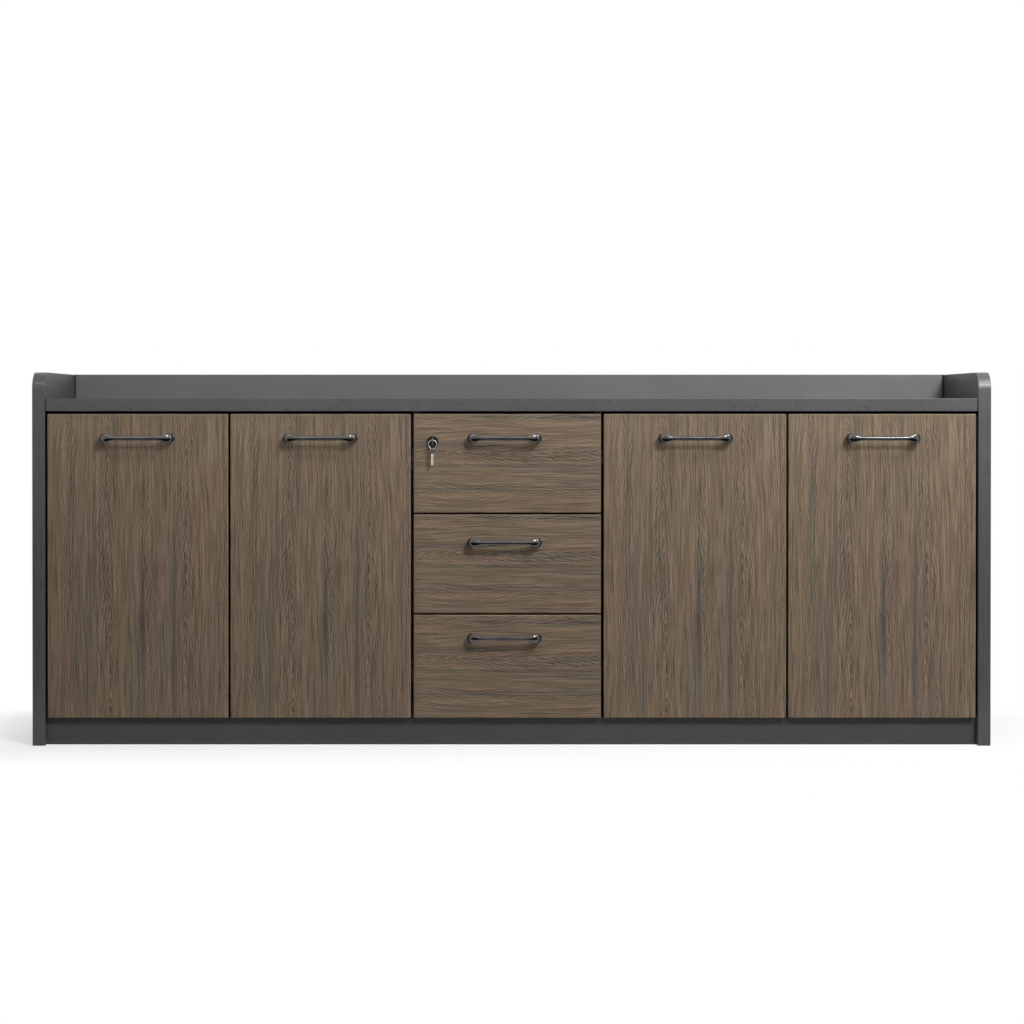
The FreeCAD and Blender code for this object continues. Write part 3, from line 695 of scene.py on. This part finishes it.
def cross_reach(angle):
    """How far the cross recess reaches from the screw's middle."""
    long_way = max(abs(math.cos(angle)), abs(math.sin(angle)))
    short_way = max(min(abs(math.cos(angle)), abs(math.sin(angle))), least_share)
    return min(cross_arm / long_way, cross_half_width / short_way)


def screw_rings():
    """Rings of (reach, height) shares, from a head's foot to the floor of its recess."""
    rings = [[spot] * screw_turns for spot in head_profile]
    reaches = [cross_reach(full_turn * turn / screw_turns) for turn in range(screw_turns)]
    rings.append([(reach, 1.0) for reach in reaches])
    rings.append([(cross_floor * reach, cross_floor_height) for reach in reaches])
    return rings


def screw_head(place, facing, roll):
    """A raised screw head with a cross recess, standing on a face."""
    rings = screw_rings()
    turned = Vector(facing).to_track_quat("Z", "Y")
    vertices = []
    for ring in rings:
        for turn, (reach, height) in enumerate(ring):
            angle = full_turn * turn / screw_turns + roll
            radius = reach * screw_head_radius
            x = radius * math.cos(angle)
            y = radius * math.sin(angle)
            spot = Vector((x, y, height * screw_head_height))
            vertices.append(Vector(place) + turned @ spot)
    faces = [list(reversed(range(screw_turns)))]
    for level in range(len(rings) - 1):
        low = level * screw_turns
        high = low + screw_turns
        for turn in range(screw_turns):
            after = (turn + 1) % screw_turns
            faces.append([low + turn, low + after, high + after, high + turn])
    last = (len(rings) - 1) * screw_turns
    faces.append([last + turn for turn in range(screw_turns)])
    return vertices, faces


# ---- hinge screws ----
flange_half = 0.026        # half of a hinge cup's flange, along the door's edge
flange_screw_reach = 0.018
wing_screw_reach = 0.0155
wing_depth = 0.056         # screw's middle behind the front plane
wing_thickness = 0.0016
pair_partition_gap = 0.003
side_gap = 0.005
cup_roll = 0.9             # radians that each screw is turned beyond the one before
wing_roll = 1.3
hinge_sides = {
    "left_outer_door": (-1, side_gap),
    "left_inner_door": (1, pair_partition_gap),
    "right_inner_door": (-1, pair_partition_gap),
    "right_outer_door": (1, side_gap),
}


def hinge_heights(door):
    """Heights of the middles of a door's two hinges."""
    low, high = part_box(door + "_hinge_cups")
    return (low.z + flange_half, high.z - flange_half)


def make_hinge_screws():
    """Screws in the cups' flanges on the doors, and in the plates' wings on the carcass."""
    wing_heads = []
    for door, (side, gap) in hinge_sides.items():
        low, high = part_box(door + "_hinge_cups")
        panel_low, panel_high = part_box(door + "_panel")
        middle_x = (low.x + high.x) / 2.0
        edge_x = panel_low.x if side < 0 else panel_high.x
        wing_x = edge_x + side * (gap - wing_thickness)
        cup_heads = []
        for z in hinge_heights(door):
            for way in (-1, 1):
                spot = (middle_x, high.y, z + way * flange_screw_reach)
                cup_heads.append(screw_head(spot, (0, 1, 0), cup_roll * len(cup_heads)))
                spot = (wing_x, front_y + wing_depth, z + way * wing_screw_reach)
                wing_heads.append(screw_head(spot, (-side, 0, 0), wing_roll * len(wing_heads)))
        new_piece(door + "_hinge_screws", cup_heads, nickel_steel, door)
    new_piece("hinge_plate_screws", wing_heads, nickel_steel, "carcass")


# ---- key ring ----
wire_radius = 0.0008
wire_sides = 14
loop_radius = 0.0086       # the loop's round part, at its wire's middle
loop_steps = 48
tip_radius = 0.0030        # bend at the loop's foot, where the spare key hangs
tip_steps = 12
hole_ease = 0.00012        # how far the loop's top is raised above the CAD ring's


def loop_points(middle_z, foot_z):
    """The loop's middle line: round above, and drawn to a soft point at its foot."""
    tip_z = foot_z + tip_radius
    drop = middle_z - foot_z - tip_radius
    tangent = math.acos((loop_radius - tip_radius) / drop)
    start = -math.pi / 2.0 + tangent
    points = []
    for step in range(loop_steps + 1):
        angle = start + (full_turn - 2.0 * tangent) * step / loop_steps
        points.append((loop_radius * math.cos(angle), middle_z + loop_radius * math.sin(angle)))
    for step in range(tip_steps + 1):
        angle = -math.pi / 2.0 - tangent + 2.0 * tangent * step / tip_steps
        points.append((tip_radius * math.cos(angle), tip_z + tip_radius * math.sin(angle)))
    return points


def make_key_ring():
    """A loop of wire in place of the CAD ring."""
    low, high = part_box("key_ring")
    middle = (low + high) / 2.0
    points = loop_points(high.z - wire_radius - loop_radius + hole_ease, low.z + wire_radius)
    count = len(points)
    vertices = []
    faces = []
    for index, (x, z) in enumerate(points):
        before = points[index - 1]
        after = points[(index + 1) % count]
        along = Vector((after[0] - before[0], 0.0, after[1] - before[1])).normalized()
        outward = Vector((along.z, 0.0, -along.x))
        for side in range(wire_sides):
            angle = full_turn * side / wire_sides
            offset = outward * math.cos(angle) + Vector((0.0, 1.0, 0.0)) * math.sin(angle)
            vertices.append(Vector((middle.x + x, middle.y, z)) + offset * wire_radius)
            here = index * wire_sides
            there = ((index + 1) % count) * wire_sides
            next_side = (side + 1) % wire_sides
            faces.append([here + side, there + side, there + next_side, here + next_side])
    ring = new_piece("key_loop", [(vertices, faces)], key_nickel, "key_ring")
    ring.data.shade_smooth()
    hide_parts("key_ring")


# ---- spare key ----
spare_bow_radius = 0.0066
spare_bow_steps = 40
spare_hole_radius = 0.0020
spare_hole_rise = 0.0032   # the hole above the bow's middle
spare_hole_steps = 24
spare_blade_half = 0.0027
spare_blade_length = 0.0290
spare_tip = 0.0008         # length of the blade's pointed end
spare_turn = math.radians(40.0)    # how far its flat side has turned to the front
spare_sheet_half = 0.0010
spare_chamfer = 0.0002
# notches: rise above the blade's tip, and depth
spare_bits = [
    (0.0034, 0.0013),
    (0.0068, 0.0009),
    (0.0102, 0.0015),
    (0.0136, 0.0011),
    (0.0170, 0.0014),
]


def key_outline():
    """A round bow, and a straight blade with notches along one edge. The bow's middle is (0, 0)."""
    corner = math.asin(spare_blade_half / spare_bow_radius)
    start = -math.pi / 2.0 + corner
    points = []
    for step in range(spare_bow_steps + 1):
        angle = start + (full_turn - 2.0 * corner) * step / spare_bow_steps
        points.append((spare_bow_radius * math.cos(angle), spare_bow_radius * math.sin(angle)))
    points.append((-spare_blade_half, -spare_blade_length + spare_tip))
    points.append((0.0, -spare_blade_length))
    points.append((spare_blade_half, -spare_blade_length + spare_tip))
    for rise, depth in spare_bits:
        z = rise - spare_blade_length
        points.append((spare_blade_half, z - depth))
        points.append((spare_blade_half - depth, z))
        points.append((spare_blade_half, z + depth))
    return points


def hole_outline():
    """The hole in the bow, which the ring goes through."""
    points = []
    for step in range(spare_hole_steps):
        angle = full_turn * step / spare_hole_steps
        x = spare_hole_radius * math.cos(angle)
        points.append((x, spare_hole_rise + spare_hole_radius * math.sin(angle)))
    return points


def make_spare_key():
    """Cut from sheet with broken edges. It hangs on the ring and stands half turned to the front."""
    low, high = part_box("spare_key")
    curve = bpy.data.curves.new("spare_key_sheet", "CURVE")
    curve.dimensions = "2D"
    curve.fill_mode = "BOTH"
    curve.extrude = spare_sheet_half - spare_chamfer
    curve.bevel_depth = spare_chamfer
    curve.offset = -spare_chamfer
    for outline in (key_outline(), hole_outline()):
        spline = curve.splines.new("POLY")
        spline.points.add(len(outline) - 1)
        for point, (x, z) in zip(spline.points, outline):
            point.co = (x, z, 0.0, 1.0)
        spline.use_cyclic_u = True
    sheet = bpy.data.objects.new("spare_key_sheet", curve)
    mesh = bpy.data.meshes.new_from_object(sheet)
    bpy.data.objects.remove(sheet)
    across = Vector((math.sin(spare_turn), math.cos(spare_turn), 0.0))
    through = Vector((math.cos(spare_turn), -math.sin(spare_turn), 0.0))
    middle = Vector(((low.x + high.x) / 2.0, (low.y + high.y) / 2.0, high.z - spare_bow_radius))
    vertices = []
    for vertex in mesh.vertices:
        x, z, depth = vertex.co
        vertices.append(middle + across * x + through * depth + Vector((0.0, 0.0, z)))
    faces = [list(face.vertices) for face in mesh.polygons]
    bpy.data.meshes.remove(mesh)
    key = new_piece("spare_key_turned", [(vertices, faces)], spare_finish, "spare_key")
    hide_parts("spare_key")


# ---- stage ----
camera_place = (-0.0769, -5.1786, 0.7065)
camera_tilt = math.radians(89.469)
camera_sensor = 36.0       # millimetres, as the lens
camera_lens = 84.21
camera_shift = (0.0364, -0.0805)

white_tone = (1.0, 1.0, 1.0, 1.0)
ambient_level = 0.09       # the world's light on the object
white_level = 1.0          # the background, as the camera and reflections see it
floor_half = 14.0
floor_tone = 0.42
floor_lift = 0.56          # brings the floor near the unit up to pale
shadow_reach = 0.25        # the floor is plain white beyond this distance from the unit
card_tone = 0.02
stage_roughness = 0.9
upper_card = [(-2.6, -2.6, 2.30), (2.6, -2.6, 2.30), (2.6, -1.3, 2.9), (-2.6, -1.3, 2.9)]
lower_card = [(-2.6, -2.4, 0.62), (2.6, -2.4, 0.62), (2.6, -0.7, 0.02), (-2.6, -0.7, 0.02)]
# name, place, what it faces, width, height, watts
lamps = [
    ("key_light", (1.9, -4.0, 3.4), (0.0, 0.0, 0.4), 1.15, 1.15, 190.0),
    ("left_strip", (-0.75, -0.55, 1.15), (-0.75, -0.1, 0.5), 0.8, 0.15, 2.2),
    ("middle_strip", (0.1, -0.55, 1.15), (0.1, -0.1, 0.5), 0.8, 0.15, 1.9),
    ("right_strip", (0.95, -0.55, 1.15), (0.95, -0.1, 0.5), 0.9, 0.15, 1.9),
    ("corner_light", (1.30, -0.50, 1.35), (1.1, -0.1, 0.6), 0.5, 0.3, 6.0),
    ("low_fill", (-0.4, -3.2, 0.35), (-0.4, 0.0, 0.2), 2.6, 0.4, 3.5),
    ("back_light", (0.6, 3.2, 1.10), (0.0, 0.2, 0.4), 3.0, 1.2, 12.0),
    ("left_side_light", (-3.4, 0.8, 0.40), (-1.0, 0.1, 0.4), 1.2, 1.2, 20.0),
    ("right_side_light", (3.4, 0.8, 0.40), (1.0, 0.1, 0.4), 1.2, 1.2, 20.0),
]


def make_camera():
    """A camera with the photograph's view of the front."""
    data = bpy.data.cameras.new("camera")
    data.sensor_width = camera_sensor
    data.lens = camera_lens
    data.shift_x, data.shift_y = camera_shift
    data.dof.use_dof = False
    camera = bpy.data.objects.new("camera", data)
    camera.location = camera_place
    camera.rotation_euler = (camera_tilt, 0.0, 0.0)
    bpy.context.scene.collection.objects.link(camera)
    bpy.context.scene.camera = camera


def area_light(name, place, aim, width, height, power):
    """A soft lamp that faces a place."""
    data = bpy.data.lights.new(name, "AREA")
    data.shape = "RECTANGLE"
    data.size = width
    data.size_y = height
    data.energy = power
    lamp = bpy.data.objects.new(name, data)
    lamp.location = place
    heading = Vector(aim) - Vector(place)
    lamp.rotation_euler = heading.to_track_quat("-Z", "Y").to_euler()
    bpy.context.scene.collection.objects.link(lamp)
    lamp.visible_camera = False


def seen_rays(tree):
    """1 for the rays that look at the background, straight or by a mirror or glass."""
    path = put(tree, "LightPath", {})
    seen = calc(tree, "MAXIMUM", path.outputs["Is Camera Ray"], path.outputs["Is Glossy Ray"])
    return calc(tree, "MAXIMUM", seen, path.outputs["Is Transmission Ray"])


def make_world():
    """White to the eye and in reflections, and dim as a light."""
    world = bpy.data.worlds.new("world")
    bpy.context.scene.world = world
    world.use_nodes = True
    tree = world.node_tree
    tree.nodes.clear()
    seen = seen_rays(tree)
    ambient = put(tree, "Background", {0: white_tone, 1: ambient_level})
    white = put(tree, "Background", {0: white_tone, 1: white_level})
    both = put(tree, "MixShader", {0: seen, 1: ambient.outputs[0], 2: white.outputs[0]})
    put(tree, "OutputWorld", {0: both.outputs[0]})


def stage_sheet(name, corners, tone):
    """A flat matte sheet, and its material."""
    mesh = bpy.data.meshes.new(name)
    mesh.from_pydata(corners, [], [(0, 1, 2, 3)])
    sheet = bpy.data.objects.new(name, mesh)
    bpy.context.scene.collection.objects.link(sheet)
    made = bpy.data.materials.new(name)
    made.use_nodes = True
    surface = made.node_tree.nodes["Principled BSDF"]
    surface.inputs["Base Color"].default_value = (tone, tone, tone, 1.0)
    surface.inputs["Roughness"].default_value = stage_roughness
    surface.inputs["Specular IOR Level"].default_value = 0.0
    mesh.materials.append(made)
    return sheet, made


def dark_card(name, corners):
    """A dark studio card in front, seen only in reflections, where it gives metal its contrast."""
    card = stage_sheet(name, corners, card_tone)[0]
    card.visible_camera = False
    card.visible_diffuse = False
    card.visible_shadow = False


def shadow_fade(tree):
    """0 by the unit, and 1 on the floor beyond the reach of its shadow."""
    place = put(tree, "TexCoord", {}).outputs["Object"]
    away = vector_calc(tree, "ABSOLUTE", place)
    away = vector_calc(tree, "SUBTRACT", away, cad_box[1])
    away = vector_calc(tree, "MAXIMUM", away)
    reach = put(tree, "VectorMath", {0: away}, operation="LENGTH").outputs["Value"]
    return remap(tree, reach, 0.0, shadow_reach, 0.0, 1.0)


def make_floor():
    """A white floor that keeps the unit's soft shadow."""
    half = floor_half
    corners = [(-half, -half, 0.0), (half, -half, 0.0), (half, half, 0.0), (-half, half, 0.0)]
    floor, made = stage_sheet("floor", corners, floor_tone)
    tree = made.node_tree
    surface = tree.nodes["Principled BSDF"]
    seen = seen_rays(tree)
    lift = calc(tree, "MULTIPLY", seen, floor_lift)
    lifted = put(tree, "Emission", {0: white_tone, 1: lift})
    near = put(tree, "AddShader", {0: surface.outputs[0], 1: lifted.outputs[0]})
    white = put(tree, "Emission", {0: white_tone, 1: white_level})
    far = calc(tree, "MULTIPLY", shadow_fade(tree), seen)
    both = put(tree, "MixShader", {0: far, 1: near.outputs[0], 2: white.outputs[0]})
    tree.links.new(both.outputs[0], tree.nodes["Material Output"].inputs[0])


# ---- making ----
make_camera()
make_world()
make_floor()
dark_card("upper_card", upper_card)
dark_card("lower_card", lower_card)
for lamp in lamps:
    area_light(*lamp)
bpy.context.scene.view_settings.view_transform = "Standard"
dress_cad_nodes()
ease_cad_nodes()
make_hinge_screws()
make_key_ring()
make_spare_key()
